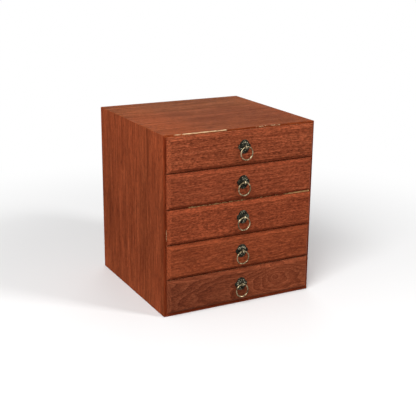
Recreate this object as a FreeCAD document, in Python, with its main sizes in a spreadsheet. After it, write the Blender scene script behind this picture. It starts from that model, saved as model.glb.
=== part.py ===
import FreeCAD, Part
import math
import os
import re

import Sketcher

# Tea storage box: a case of mitred boards with five drawers, each with a hanging ring pull.
# The origin is the centre of the case's base. X points right, the drawer faces look along -Y, Z is up.

ROWS = 5
SHELVES = ROWS - 1
AJAR_ROWS = (1, 3)
LEANING_RING_ROWS = (1,)
BOSS_SIDES = 12
WIRE_SIDES = 5

# Driving sizes, in millimetres and degrees
SIZES = (
    ("case_width", 230.0, "outside width of the case"),
    ("overall_depth", 225.0, "back of the case to the front of a closed drawer's face"),
    ("case_height", 250.0, "outside height of the case"),
    ("case_board", 5.5, "thickness of the sides, top and bottom, which are mitred together"),
    ("shelf_board", 5.5, "thickness of a shelf between two drawers"),
    ("shelf_housing", 2.0, "how far a shelf's end is let into a side"),
    ("back_board", 4.0, "thickness of the back panel"),
    ("back_rebate", 3.0, "how far the back panel laps onto each board around it"),
    ("face_thickness", 6.0, "how far a drawer face stands in front of the case"),
    ("face_bevel", 4.5, "bevel around the front of a drawer face"),
    ("face_reveal", 3.5, "width of the case's side edge left in sight beside a face"),
    ("face_gap", 1.6, "gap between two drawer faces"),
    ("face_drop", 0.6, "how far a face reaches below the floor of its drawer's compartment"),
    ("closed_gap", 0.2, "room between a closed drawer's face and the case"),
    ("drawer_ajar", 1.0, "how far the drawers that stand ajar are pulled out"),
    ("drawer_board", 5.0, "thickness of a drawer's front, sides and back"),
    ("side_play", 0.5, "room beside a drawer, on each side"),
    ("slide_gap", 0.2, "room under a drawer"),
    ("head_room", 1.2, "room above a drawer"),
    ("rear_gap", 3.0, "room behind a closed drawer"),
    ("base_board", 3.0, "thickness of a drawer's base"),
    ("base_rise", 3.5, "height of the base above the drawer's lower edge"),
    ("base_groove", 2.5, "depth of the groove that holds the base"),
    ("nail_width", 1.2, "width of the square, headless nails that hold the boards"),
    ("nail_length", 14.0, "length of the nails"),
    ("pull_rise", 2.3, "height of a pull's eye above the middle of its face"),
    ("plate_thickness", 0.8, "thickness of a pull's plate"),
    ("end_lobe_radius", 7.4, "radius of the plate's top and bottom lobes"),
    ("end_lobe_reach", 2.4, "centres of the top and bottom lobes above and below the eye"),
    ("side_lobe_radius", 4.2, "radius of the plate's side lobes"),
    ("side_lobe_reach", 5.8, "centres of the side lobes beside the eye"),
    ("boss_radius", 3.5, "radius of the many-sided boss at the plate's centre, at its corners"),
    ("boss_height", 0.7, "height of that boss above the plate"),
    ("boss_slope", 40.0, "slope of the boss's side, from square"),
    ("strip_thickness", 0.7, "thickness of the strip that the split pin is folded from"),
    ("strip_width", 2.2, "width of that strip"),
    ("leg_slit", 0.2, "slit between the two legs of the split pin"),
    ("leg_turn", 7.0, "length of each leg bent over inside the drawer"),
    ("leg_play", 0.1, "room around the legs in their slots"),
    ("eye_room", 0.65, "how much larger the split pin's eye is inside than the ring's wire, in radius"),
    ("eye_seat", 0.1, "room between the eye and the boss"),
    ("ring_radius", 8.8, "radius of the pull ring along its wire's centre"),
    ("wire_radius", 1.05, "radius of the ring's wire, at the corners of its many-sided section"),
    ("ring_play", 0.45, "room between the eye and the corners of the wire hanging in it"),
    ("ring_lean", 12.0, "angle by which a leaning ring hangs to the right"),
)

# Sizes that follow from the driving ones
DERIVED = {
    "case_depth": "overall_depth - face_thickness - closed_gap",
    "opening_width": "case_width - 2 * case_board",
    "opening_height": f"(case_height - 2 * case_board - {SHELVES} * shelf_board) / {ROWS}",
    "row_pitch": "opening_height + shelf_board",
    "rebate_front": "case_depth / 2 - back_board",
    "face_width": "case_width - 2 * face_reveal",
    "face_height": "row_pitch - face_gap",
    "box_width": "opening_width - 2 * side_play",
    "box_inner_width": "box_width - 2 * drawer_board",
    "box_height": "opening_height - slide_gap - head_room",
    "box_top": "slide_gap + box_height",
    "box_rear": "case_depth - back_board - rear_gap",
    "base_under": "slide_gap + base_rise",
    "base_top": "base_under + base_board",
    "pull_height": "face_height / 2 - face_drop + pull_rise",
    "leg_depth": "face_thickness + drawer_board",
    "leg_back": "leg_slit / 2 + strip_thickness",
    "slot_across": "strip_width / 2 + leg_play",
    "slot_rise": "leg_back + leg_play",
    "eye_radius": "wire_radius + eye_room",
    "eye_outer_radius": "eye_radius + strip_thickness",
    "eye_stand": "plate_thickness + boss_height + eye_seat + eye_outer_radius",
    "ring_hang": "eye_room - ring_play",
}

doc = FreeCAD.newDocument("tea_storage_box")
sheet = doc.addObject("Spreadsheet::Sheet", "Sizes")
for line, (alias, size, meaning) in enumerate(SIZES, start=1):
    sheet.set(f"A{line}", meaning)
    sheet.set(f"B{line}", str(size))
    sheet.setAlias(f"B{line}", alias)
doc.recompute()

ALIASES = {alias for alias, size, meaning in SIZES}
nodes = []


def expression(text):
    """Write sizes given by plain names as an expression of the sheet's cells."""
    def cell(match):
        word = match.group()
        if word in DERIVED:
            return "(" + expression(DERIVED[word]) + ")"
        if word in ALIASES:
            return "Sizes." + word
        return word
    return re.sub(r"[a-z_]+", cell, text)


def value(text):
    return float(sheet.evalExpression(expression(text)))


def floor_of(row):
    """Height of the floor that the drawer in this row slides on; row 1 is the top one."""
    return f"(case_board + {ROWS - row} * row_pitch)"


def ajar_of(row):
    return "drawer_ajar" if row in AJAR_ROWS else "0"


def new_body(label):
    body = doc.addObject("PartDesign::Body", label)
    body.Label = label
    nodes.append(body)
    return body


def place(piece, x="0", y="0", z="0"):
    for axis, distance in (("x", x), ("y", y), ("z", z)):
        piece.setExpression("Placement.Base." + axis, expression(distance))


def place_in_drawer(piece, row):
    """A drawer's pieces are drawn from the case's front edge and the floor of their compartment."""
    place(piece, y=f"-case_depth / 2 - {ajar_of(row)}", z=floor_of(row))


def place_in_pull(piece, row, rise="0", stand="0"):
    """A pull's pieces are drawn from the front of the drawer's face, level with the eye."""
    front = f"-case_depth / 2 - {ajar_of(row)} - closed_gap - face_thickness"
    place(piece, y=f"{front} - {stand}", z=f"{floor_of(row)} + pull_height + {rise}")


def new_sketch(body, plane, offset="0"):
    """A sketch on one of the body's own planes, moved along that plane's normal.

    XY looks along +Z, XZ along -Y and YZ along +X.
    """
    sketch = body.newObject("Sketcher::SketchObject", "sketch")
    support = [f for f in body.Origin.OriginFeatures if f.Role == plane + "_Plane"][0]
    sketch.AttachmentSupport = [(support, "")]
    sketch.MapMode = "FlatFace"
    sketch.setExpression("AttachmentOffset.Base.z", expression(offset))
    return sketch


def join(sketch, first, second):
    """Make two ends meet; each is a curve's number and which of its points it is."""
    sketch.addConstraint(Sketcher.Constraint("Coincident", *first, *second))


def hold(sketch, size, kind, *where):
    """Give the sketch a dimension that follows the sheet."""
    index = sketch.addConstraint(Sketcher.Constraint(kind, *where, value(size)))
    sketch.setExpression(f"Constraints[{index}]", expression(size))


def fix_point(sketch, curve, end, point):
    """Hold a point of the sketch at the given distances from the sketch's origin."""
    hold(sketch, point[0], "DistanceX", -1, 1, curve, end)
    hold(sketch, point[1], "DistanceY", -1, 1, curve, end)


def draw_polygon(sketch, points):
    first = sketch.GeometryCount
    count = len(points)
    corners = [FreeCAD.Vector(value(u), value(v), 0) for u, v in points]
    for i in range(count):
        sketch.addGeometry(Part.LineSegment(corners[i], corners[(i + 1) % count]), False)
    for i in range(count):
        join(sketch, (first + i, 2), (first + (i + 1) % count, 1))
        fix_point(sketch, first + i, 1, points[i])


def draw_many_sided(sketch, aside, radius, sides):
    """A regular outline with its corners at the given radius; its centre is on the sketch's first axis."""
    turns = [f"{number * 360 / sides} deg" for number in range(sides)]
    draw_polygon(sketch, [(f"{aside} + {radius} * cos({turn})", f"{radius} * sin({turn})") for turn in turns])


def draw_rectangle(sketch, low, high):
    draw_polygon(sketch, [low, (high[0], low[1]), high, (low[0], high[1])])


def draw_path(sketch, start, points, end):
    """Straight lines from the end of one curve through the points to the end of another."""
    last, spot = start, sketch.getPoint(*start)
    for point in points:
        corner = FreeCAD.Vector(value(point[0]), value(point[1]), 0)
        line = sketch.addGeometry(Part.LineSegment(spot, corner), False)
        join(sketch, last, (line, 1))
        fix_point(sketch, line, 2, point)
        last, spot = (line, 2), corner
    line = sketch.addGeometry(Part.LineSegment(spot, sketch.getPoint(*end)), False)
    join(sketch, last, (line, 1))
    join(sketch, (line, 2), end)


def make_circle(centre, radius):
    middle = FreeCAD.Vector(value(centre[0]), value(centre[1]), 0)
    return Part.Circle(middle, FreeCAD.Vector(0, 0, 1), value(radius))


def pad(body, sketch, length, reverse=False, both_ways=False):
    feature = body.newObject("PartDesign::Pad", "pad")
    feature.Profile = sketch
    feature.SideType = "Symmetric" if both_ways else "One side"
    feature.Reversed = reverse
    feature.setExpression("Length", expression(length))
    return feature


def pocket(body, sketch, depth=None, reverse=False, both_ways=False):
    """Cut the sketch into the body, right through it where no depth is given."""
    feature = body.newObject("PartDesign::Pocket", "pocket")
    feature.Profile = sketch
    feature.SideType = "Symmetric" if both_ways else "One side"
    feature.Reversed = reverse
    if depth is None:
        feature.Type = "ThroughAll"
    else:
        feature.setExpression("Length", expression(depth))
    return feature


def revolve(body, sketch, axis):
    feature = body.newObject("PartDesign::Revolution", "revolution")
    feature.Profile = sketch
    feature.ReferenceAxis = (sketch, [axis])
    feature.Angle = 360
    return feature


def edges_of(feature, wanted):
    """Names of the feature's edges for which the test holds."""
    edges = enumerate(feature.Shape.Edges, start=1)
    return [f"Edge{number}" for number, edge in edges if wanted(edge)]


def on_front(edge, depth):
    """Whether the edge lies flat at this distance in front of the body's own origin."""
    return all(abs(vertex.Y + depth) < 1e-6 for vertex in edge.Vertexes)


# Case: sides, top and bottom are mitred at the corners, with a rebate behind for the back panel

def make_side(label, side):
    """A side board; side is -1 on the left and 1 on the right. The shelves are housed in it."""
    inner = f"{side} * opening_width / 2"
    outer = f"{side} * case_width / 2"
    body = new_body(label)
    section = new_sketch(body, "XZ")
    draw_polygon(section, [
        (outer, "0"),
        (outer, "case_height"),
        (inner, "case_height - case_board"),
        (inner, "case_board"),
    ])
    pad(body, section, "case_depth", both_ways=True)
    rebate = new_sketch(body, "XY")
    rebate_edge = f"{side} * (opening_width / 2 + back_rebate)"
    draw_rectangle(rebate, (inner, "rebate_front"), (rebate_edge, "case_depth / 2"))
    pocket(body, rebate, reverse=True)
    housing = new_sketch(body, "YZ", inner)
    lowest = floor_of(SHELVES)
    draw_rectangle(
        housing,
        ("-case_depth / 2", f"{lowest} - shelf_board"),
        ("rebate_front", lowest),
    )
    cut = pocket(body, housing, "shelf_housing", reverse=side > 0)
    pattern = body.newObject("PartDesign::LinearPattern", "housings")
    pattern.Originals = [cut]
    pattern.Direction = (housing, ["V_Axis"])
    pattern.setExpression("Length", expression(f"{SHELVES - 1} * row_pitch"))
    pattern.Occurrences = SHELVES
    body.Tip = pattern
    return body


def make_lid(label, outer, inner, rebate_edge):
    """The top or the bottom panel, from its outer face to its inner face."""
    body = new_body(label)
    section = new_sketch(body, "XZ")
    draw_polygon(section, [
        ("-case_width / 2", outer),
        ("case_width / 2", outer),
        ("opening_width / 2", inner),
        ("-opening_width / 2", inner),
    ])
    pad(body, section, "case_depth", both_ways=True)
    rebate = new_sketch(body, "YZ")
    draw_rectangle(rebate, ("rebate_front", inner), ("case_depth / 2", rebate_edge))
    pocket(body, rebate, both_ways=True)
    return body


def make_back_panel():
    body = new_body("back_panel")
    outline = new_sketch(body, "XZ", "-rebate_front")
    across = "(opening_width / 2 + back_rebate)"
    draw_rectangle(
        outline,
        ("-" + across, "case_board - back_rebate"),
        (across, "case_height - case_board + back_rebate"),
    )
    pad(body, outline, "back_board", reverse=True)
    return body


def make_shelf(row):
    """The shelf under the drawer in this row."""
    body = new_body(f"shelf_{row}")
    outline = new_sketch(body, "XY")
    across = "(opening_width / 2 + shelf_housing)"
    draw_rectangle(outline, ("-" + across, "-case_depth / 2"), (across, "rebate_front"))
    pad(body, outline, "shelf_board")
    place(body, z=f"{floor_of(row)} - shelf_board")
    return body


def make_nail(along, x, y, z):
    """A nail along X or Y, with the lower end of its middle line at the given point."""
    nail = doc.addObject("Part::Box", "nail")
    sides = {"x": "Length", "y": "Width", "z": "Height"}
    corner = {"x": x, "y": y, "z": z}
    for axis, side in sides.items():
        if axis == along:
            nail.setExpression(side, expression("nail_length"))
        else:
            nail.setExpression(side, expression("nail_width"))
            corner[axis] += " - nail_width / 2"
    place(nail, **corner)
    return nail


def group_nails(label, nails):
    group = doc.addObject("Part::Compound", label)
    group.Label = label
    group.Links = nails
    nodes.append(group)
    return group


def make_back_nails():
    """Nails through the back panel into the sides, the top, the bottom and the shelves."""
    beside = "(opening_width + back_rebate) / 2"
    spots = []
    for row in range(1, ROWS + 1):
        middle = f"{floor_of(row)} + opening_height / 2"
        spots += [("-" + beside, middle), (beside, middle)]
    for row in range(1, ROWS):
        spots.append(("0", f"{floor_of(row)} - shelf_board / 2"))
    for x in ("-opening_width / 4", "opening_width / 4"):
        spots.append((x, "case_board - back_rebate / 2"))
        spots.append((x, "case_height - case_board + back_rebate / 2"))
    nails = [make_nail("y", x, "case_depth / 2 - nail_length", z) for x, z in spots]
    return group_nails("back_nails", nails)


make_side("left_side", -1)
make_side("right_side", 1)
make_lid("bottom_panel", "0", "case_board", "case_board - back_rebate")
make_lid("top_panel", "case_height", "case_height - case_board",
         "case_height - case_board + back_rebate")
make_back_panel()
for row in range(1, ROWS):
    make_shelf(row)
make_back_nails()


# Drawers: a box of five boards behind a bevelled face that overlaps the case's front edges

def slot_for_legs(body, height="0", offset="0", reverse=True):
    """A slot through the body for the split pin's legs, at this height."""
    slot = new_sketch(body, "XZ", offset)
    draw_rectangle(
        slot,
        ("-slot_across", f"{height} - slot_rise"),
        ("slot_across", f"{height} + slot_rise"),
    )
    return pocket(body, slot, reverse=reverse)


def make_face(row):
    body = new_body(f"drawer_{row}_face")
    outline = new_sketch(body, "XZ", "closed_gap")
    draw_rectangle(
        outline,
        ("-face_width / 2", "-face_drop"),
        ("face_width / 2", "face_height - face_drop"),
    )
    board = pad(body, outline, "face_thickness")
    doc.recompute()
    front = value("closed_gap + face_thickness")
    bevel = body.newObject("PartDesign::Chamfer", "bevel")
    bevel.Base = (board, edges_of(board, lambda edge: on_front(edge, front)))
    bevel.setExpression("Size", expression("face_bevel"))
    slot_for_legs(body, "pull_height")
    place_in_drawer(body, row)
    return body


def make_box_end(label, row, offset, outside, groove_from, groove_to, slotted):
    """The front or the back of the drawer's box, with a groove for the base.

    The board is drawn at the offset; outside is True where it grows towards the drawer's face.
    """
    body = new_body(label)
    outline = new_sketch(body, "XZ", offset)
    draw_rectangle(
        outline,
        ("-box_inner_width / 2", "slide_gap"),
        ("box_inner_width / 2", "box_top"),
    )
    pad(body, outline, "drawer_board", reverse=not outside)
    groove = new_sketch(body, "YZ")
    draw_rectangle(groove, (groove_from, "base_under"), (groove_to, "base_top"))
    pocket(body, groove, both_ways=True)
    if slotted:
        slot_for_legs(body, "pull_height", offset, reverse=False)
    place_in_drawer(body, row)
    return body


def make_box_side(label, row, side):
    """A side of the drawer's box; side is -1 on the left and 1 on the right."""
    body = new_body(label)
    outline = new_sketch(body, "YZ", f"{side} * box_width / 2")
    draw_rectangle(outline, ("-closed_gap", "slide_gap"), ("box_rear", "box_top"))
    pad(body, outline, "drawer_board", reverse=side > 0)
    groove = new_sketch(body, "YZ", f"{side} * box_inner_width / 2")
    draw_rectangle(groove, ("-closed_gap", "base_under"), ("box_rear", "base_top"))
    pocket(body, groove, "base_groove", reverse=side > 0)
    place_in_drawer(body, row)
    return body


def make_base(row):
    body = new_body(f"drawer_{row}_base")
    outline = new_sketch(body, "XY", "base_under")
    across = "(box_inner_width / 2 + base_groove)"
    draw_rectangle(
        outline,
        ("-" + across, "drawer_board - closed_gap - base_groove"),
        (across, "box_rear - drawer_board + base_groove"),
    )
    pad(body, outline, "base_board")
    place_in_drawer(body, row)
    return body


def make_drawer_nails(row):
    """Two nails at each corner of the box, from the sides into the front and the back."""
    above_base = "(box_top - base_top)"
    nails = []
    for y in ("drawer_board / 2 - closed_gap", "box_rear - drawer_board / 2"):
        for z in (f"base_top + {above_base} / 4", f"box_top - {above_base} / 4"):
            nails.append(make_nail("x", "-box_width / 2", y, z))
            nails.append(make_nail("x", "box_width / 2 - nail_length", y, z))
    group = group_nails(f"drawer_{row}_nails", nails)
    place_in_drawer(group, row)
    return group


# Ring pulls: a lobed plate, a split pin whose eye holds the ring, and the ring

def crossing(first, second):
    """Where two lobes' circles meet, to the right of the line from one centre to the next."""
    (x1, y1, r1), (x2, y2, r2) = first, second
    apart = math.hypot(x2 - x1, y2 - y1)
    along = (apart ** 2 + r1 ** 2 - r2 ** 2) / (2 * apart)
    aside = math.sqrt(r1 ** 2 - along ** 2)
    ux, uy = (x2 - x1) / apart, (y2 - y1) / apart
    return FreeCAD.Vector(x1 + along * ux + aside * uy, y1 + along * uy - aside * ux, 0)


def draw_lobes(sketch, lobes):
    """An outline of arcs, one for each lobe, anticlockwise; neighbours meet where they cross."""
    circles = [tuple(value(text) for text in lobe) for lobe in lobes]
    count = len(lobes)
    first = sketch.GeometryCount
    meets = [crossing(circles[i], circles[(i + 1) % count]) for i in range(count)]
    for i, (x, y, radius) in enumerate(circles):
        start, end = meets[i - 1], meets[i]
        begin = math.atan2(start.y - y, start.x - x)
        finish = math.atan2(end.y - y, end.x - x)
        if finish < begin:
            finish += 2 * math.pi
        circle = make_circle(lobes[i][:2], lobes[i][2])
        sketch.addGeometry(Part.ArcOfCircle(circle, begin, finish), False)
    for i, (x, y, radius) in enumerate(lobes):
        join(sketch, (first + i, 2), (first + (i + 1) % count, 1))
        fix_point(sketch, first + i, 3, (x, y))
        hold(sketch, radius, "Radius", first + i)


def make_plate(row):
    body = new_body(f"pull_{row}_plate")
    outline = new_sketch(body, "XZ")
    draw_lobes(outline, [
        ("side_lobe_reach", "0", "side_lobe_radius"),
        ("0", "end_lobe_reach", "end_lobe_radius"),
        ("-side_lobe_reach", "0", "side_lobe_radius"),
        ("0", "-end_lobe_reach", "end_lobe_radius"),
    ])
    pad(body, outline, "plate_thickness")
    rosette = new_sketch(body, "XZ", "plate_thickness")
    draw_many_sided(rosette, "0", "boss_radius", BOSS_SIDES)
    boss = pad(body, rosette, "boss_height")
    boss.setExpression("TaperAngle", expression("-boss_slope"))
    slot_for_legs(body)
    place_in_pull(body, row)
    return body


def draw_eye(sketch, radius, gap):
    """Most of a circle round the eye's middle; its gap faces the legs and is this far half open."""
    middle = ("-eye_stand", "0")
    opening = math.asin(value(gap) / value(radius))
    open_circle = Part.ArcOfCircle(make_circle(middle, radius), opening, 2 * math.pi - opening)
    arc = sketch.addGeometry(open_circle, False)
    fix_point(sketch, arc, 3, middle)
    hold(sketch, radius, "Radius", arc)
    hold(sketch, gap, "DistanceY", -1, 1, arc, 1)
    hold(sketch, f"-({gap})", "DistanceY", -1, 1, arc, 2)
    return arc


def make_split_pin(row):
    """A strip folded round the ring into an eye; its two legs turn away from each other inside.

    It is drawn from its edge: the first coordinate runs into the drawer, the second one upwards.
    """
    body = new_body(f"pull_{row}_pin")
    edge = new_sketch(body, "YZ")
    outer = draw_eye(edge, "eye_outer_radius", "leg_back")
    inner = draw_eye(edge, "eye_radius", "leg_slit / 2")
    turned = "leg_depth + strip_thickness"
    for end, side in ((1, 1), (2, -1)):
        leg = [
            ("leg_depth", f"{side} * leg_back"),
            ("leg_depth", f"{side} * leg_turn"),
            (turned, f"{side} * leg_turn"),
            (turned, f"{side} * leg_slit / 2"),
        ]
        draw_path(edge, (outer, end), leg, (inner, end))
    pad(body, edge, "strip_width", both_ways=True)
    place_in_pull(body, row)
    return body


def make_ring(row):
    """A ring of round wire, a few sides standing for its section, drawn from where it hangs in the eye."""
    body = new_body(f"pull_{row}_ring")
    wire = new_sketch(body, "XY", "-ring_radius")
    draw_many_sided(wire, "ring_radius", "wire_radius", WIRE_SIDES)
    revolve(body, wire, "V_Axis")
    place_in_pull(body, row, "-ring_hang", "eye_stand")
    if row in LEANING_RING_ROWS:
        body.Placement.Rotation = FreeCAD.Rotation(FreeCAD.Vector(0, -1, 0), 1)
        body.setExpression("Placement.Rotation.Angle", expression("ring_lean"))
    return body


for row in range(1, ROWS + 1):
    make_face(row)
    make_box_end(
        f"drawer_{row}_front", row, "closed_gap", False,
        "drawer_board - closed_gap - base_groove", "drawer_board - closed_gap", True,
    )
    make_box_side(f"drawer_{row}_left", row, -1)
    make_box_side(f"drawer_{row}_right", row, 1)
    make_box_end(
        f"drawer_{row}_back", row, "-box_rear", True,
        "box_rear - drawer_board", "box_rear - drawer_board + base_groove", False,
    )
    make_base(row)
    make_drawer_nails(row)
    make_plate(row)
    make_split_pin(row)
    make_ring(row)

doc.recompute()


# Every object has to be sound, and every cut has to take material away, before anything is written

def check_document():
    for thing in doc.Objects:
        bad = [state for state in thing.State if state in ("Invalid", "Error")]
        if bad:
            raise RuntimeError(f"{thing.Label} is {bad}")
        if thing.TypeId == "PartDesign::Pocket":
            before = thing.BaseFeature.Shape.Volume
            if thing.Shape.Volume > before - 1e-3:
                raise RuntimeError(f"{thing.Label} cuts nothing")
    for node in nodes:
        if node.Shape.isNull() or not node.Shape.isValid():
            raise RuntimeError(f"{node.Label} has no valid shape")


check_document()
os.makedirs("parts", exist_ok=True)
for node in nodes:
    node.Shape.exportStep(f"parts/{node.Label}.step")
print(len(nodes), "sub-parts,", sum(len(node.Shape.Solids) for node in nodes), "solids")
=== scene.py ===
import math

import bpy
from mathutils import Euler, Matrix, Vector


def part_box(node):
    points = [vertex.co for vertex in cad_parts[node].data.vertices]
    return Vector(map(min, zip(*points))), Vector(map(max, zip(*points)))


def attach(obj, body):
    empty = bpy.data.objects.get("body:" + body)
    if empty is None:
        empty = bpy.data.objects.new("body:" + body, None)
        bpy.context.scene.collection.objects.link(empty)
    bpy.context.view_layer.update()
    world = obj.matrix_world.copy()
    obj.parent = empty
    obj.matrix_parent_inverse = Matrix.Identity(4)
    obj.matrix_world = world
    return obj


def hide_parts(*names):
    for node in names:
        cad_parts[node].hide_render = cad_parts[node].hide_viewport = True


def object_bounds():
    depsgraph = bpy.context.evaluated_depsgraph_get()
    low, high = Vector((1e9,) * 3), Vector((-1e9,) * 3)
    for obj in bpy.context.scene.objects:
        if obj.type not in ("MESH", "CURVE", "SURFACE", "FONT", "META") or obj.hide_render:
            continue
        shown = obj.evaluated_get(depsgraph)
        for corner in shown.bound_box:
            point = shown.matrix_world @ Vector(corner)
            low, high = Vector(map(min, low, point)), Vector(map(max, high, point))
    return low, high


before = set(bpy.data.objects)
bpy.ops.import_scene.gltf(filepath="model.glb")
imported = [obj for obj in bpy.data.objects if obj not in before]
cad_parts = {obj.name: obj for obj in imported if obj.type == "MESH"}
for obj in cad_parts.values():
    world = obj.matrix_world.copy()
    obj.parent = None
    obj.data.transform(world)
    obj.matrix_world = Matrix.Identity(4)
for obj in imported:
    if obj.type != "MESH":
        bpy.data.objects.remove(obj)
cad_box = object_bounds()
scene = bpy.context.scene


# Camera: it stands to the left in front of the box and above its top, and is tipped by half a degree.
# Its place was found from the corners of the case and the middles of the pulls.

LOOK_AZIMUTH = math.radians(-27.892)
LOOK_ELEVATION = math.radians(17.215)
LOOK_ROLL = math.radians(0.588)
LOOK_DISTANCE = 1.28296
LOOK_ASIDE = 0.00706
LOOK_RAISED = -0.0157
LENS, SENSOR_WIDTH = 75.45, 36
SEEN_FROM, SEEN_TO = 0.05, 30

back = Vector((
    math.sin(LOOK_AZIMUTH) * math.cos(LOOK_ELEVATION),
    -math.cos(LOOK_AZIMUTH) * math.cos(LOOK_ELEVATION),
    math.sin(LOOK_ELEVATION),
))
bpy.ops.object.camera_add()
camera = bpy.context.object
camera.name = "camera"
camera.rotation_mode = "QUATERNION"
camera.rotation_quaternion = back.to_track_quat("Z", "Y") @ Euler((0, 0, LOOK_ROLL)).to_quaternion()
aside = camera.rotation_quaternion @ Vector((1, 0, 0))
upward = camera.rotation_quaternion @ Vector((0, 1, 0))
box_middle = Vector((0, 0, (cad_box[0].z + cad_box[1].z) / 2))
camera.location = box_middle + aside * LOOK_ASIDE + upward * LOOK_RAISED + back * LOOK_DISTANCE
camera.data.lens = LENS
camera.data.sensor_width = SENSOR_WIDTH
camera.data.clip_start = SEEN_FROM
camera.data.clip_end = SEEN_TO
scene.camera = camera


# Floor: a pale round sheet that fades to plain white away from the box, so that only the soft shadow
# round the box is left to see. It throws less light back up than its colour would.

FLOOR_RADIUS, FLOOR_SIDES, FLOOR_HEIGHT = 8, 96, -0.0001
FLOOR_SEEN = (0.9, 0.9, 0.9, 1)
FLOOR_LIT = (0.5, 0.5, 0.5, 1)
FADE_FROM, FADE_TO = 0.28, 0.75
WHITE = (1, 1, 1, 1)


def empty_tree(holder):
    """The node tree of a new material or world, with nothing in it."""
    holder.use_nodes = True
    holder.node_tree.nodes.clear()
    return holder.node_tree


def add_node(tree, kind, inputs=None, **settings):
    """A shader node with its settings; an input is a number, a colour, a vector or another node's socket."""
    node = tree.nodes.new(kind)
    for name, setting in settings.items():
        setattr(node, name, setting)
    for socket, value in (inputs or {}).items():
        if isinstance(value, bpy.types.NodeSocket):
            tree.links.new(value, node.inputs[socket])
        else:
            node.inputs[socket].default_value = value
    return node


def compute(tree, operation, first, second=0.0):
    """One sum with numbers or sockets."""
    return add_node(tree, "ShaderNodeMath", {0: first, 1: second}, operation=operation).outputs[0]


def rise_between(tree, value, low, high):
    """0 below low, 1 above high, and a smooth rise between them."""
    return add_node(
        tree, "ShaderNodeMapRange",
        {"Value": value, "From Min": low, "From Max": high},
        interpolation_type="SMOOTHSTEP",
    ).outputs[0]


def mix_colours(tree, share, first, second, how="MIX"):
    """The first colour, changed to the second by the share; how says in which way."""
    node = add_node(tree, "ShaderNodeMix", {0: share, 6: first, 7: second}, data_type="RGBA", blend_type=how)
    return node.outputs[2]


def seen_directly(tree):
    """1 for what the camera sees, also in a reflection, and 0 for the light that falls on the box."""
    path = add_node(tree, "ShaderNodeLightPath")
    seen = compute(tree, "MAXIMUM", path.outputs["Is Camera Ray"], path.outputs["Is Glossy Ray"])
    return compute(tree, "MAXIMUM", seen, path.outputs["Is Transmission Ray"])


bpy.ops.object.select_all(action="DESELECT")
bpy.ops.mesh.primitive_circle_add(
    vertices=FLOOR_SIDES, radius=FLOOR_RADIUS, fill_type="NGON", location=(0, 0, FLOOR_HEIGHT)
)
floor = bpy.context.object
floor.name = "floor"
pale_floor = bpy.data.materials.new("pale_floor")
tree = empty_tree(pale_floor)
spot = add_node(tree, "ShaderNodeTexCoord").outputs["Object"]
away = add_node(tree, "ShaderNodeVectorMath", {0: spot}, operation="LENGTH").outputs["Value"]
faded = rise_between(tree, away, FADE_FROM, FADE_TO)
seen = seen_directly(tree)
tone = mix_colours(tree, seen, FLOOR_LIT, FLOOR_SEEN)
sheet = add_node(tree, "ShaderNodeBsdfDiffuse", {"Color": tone})
glow = add_node(tree, "ShaderNodeEmission", {"Color": WHITE, "Strength": 1})
share = compute(tree, "MULTIPLY", faded, seen)
mixed = add_node(tree, "ShaderNodeMixShader", {0: share, 1: sheet.outputs[0], 2: glow.outputs[0]})
add_node(tree, "ShaderNodeOutputMaterial", {"Surface": mixed.outputs[0]})
floor.data.materials.append(pale_floor)


# Light: one large soft lamp at the upper left in front and a smaller one at the upper right, so that the
# upper bevels of the drawers are light and the lower ones dark, two weak lamps and an even room light.

ROOM_LIGHT = 0.24


def add_softbox(name, place, size, power):
    """A square lamp that faces the middle of the box; size in metres and power in watts."""
    bpy.ops.object.light_add(type="AREA", location=place)
    lamp = bpy.context.object
    lamp.name = name
    lamp.data.size = size
    lamp.data.energy = power
    lamp.rotation_euler = (box_middle - Vector(place)).to_track_quat("-Z", "Y").to_euler()
    lamp.visible_camera = False


def between(tree, share, low, high):
    """The number that lies the share of the way from low to high."""
    return add_node(
        tree, "ShaderNodeMapRange", {"Value": share, "To Min": low, "To Max": high}
    ).outputs[0]


add_softbox("key_lamp", place=(-1.35, -1.25, 1.70), size=1.3, power=52)
add_softbox("right_lamp", place=(1.30, -1.60, 1.50), size=0.45, power=25)
add_softbox("left_lamp", place=(-1.9, 0.2, 0.6), size=1.0, power=5)
add_softbox("back_lamp", place=(0.9, 1.9, 0.55), size=1.2, power=16)

studio = bpy.data.worlds.new("studio")
tree = empty_tree(studio)
level = between(tree, seen_directly(tree), ROOM_LIGHT, 1)
sky = add_node(tree, "ShaderNodeBackground", {"Color": WHITE, "Strength": level})
add_node(tree, "ShaderNodeOutputWorld", {"Surface": sky.outputs[0]})
scene.world = studio
scene.view_settings.view_transform = "Standard"


# Case: two sides, a top and a bottom of 5.5 mm boards, mitred and glued at the corners and sanded
# together, so their outer edges are rounded as one. Red-brown stain, wiped on outside only.

case_low = Vector((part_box("left_side")[0].x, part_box("left_side")[0].y, 0))
case_high = Vector((-case_low.x, -case_low.y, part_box("top_panel")[1].z))

STAIN_DARK = (0.150, 0.030, 0.0125, 1)
STAIN_MIDDLE = (0.262, 0.0585, 0.0235, 1)
STAIN_LIGHT = (0.385, 0.096, 0.0400, 1)
STAIN_PORE = (0.070, 0.015, 0.008, 1)
BARE_DARK = (0.46, 0.29, 0.14, 1)
BARE_LIGHT = (0.76, 0.55, 0.31, 1)
STAIN_RING_SHARE, BARE_RING_SHARE = 0.12, 0.5
TURNS = {"x": (0, 0, 0), "y": (0, 0, -math.pi / 2), "z": (0, math.pi / 2, 0)}

# How many cells to the metre each pattern of the wood has, along the board and in both ways across it.
DRIFT_CELLS = (5, 17, 17)
BAND_CELLS = (3, 75, 75)
FIBRE_CELLS = (60, 1500, 1500)
FLECK_CELLS = (260, 700, 700)
PORE_CELLS = (120, 2100, 2100)
STREAKS_ALONG, STREAKS_ACROSS = 12, 500

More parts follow.
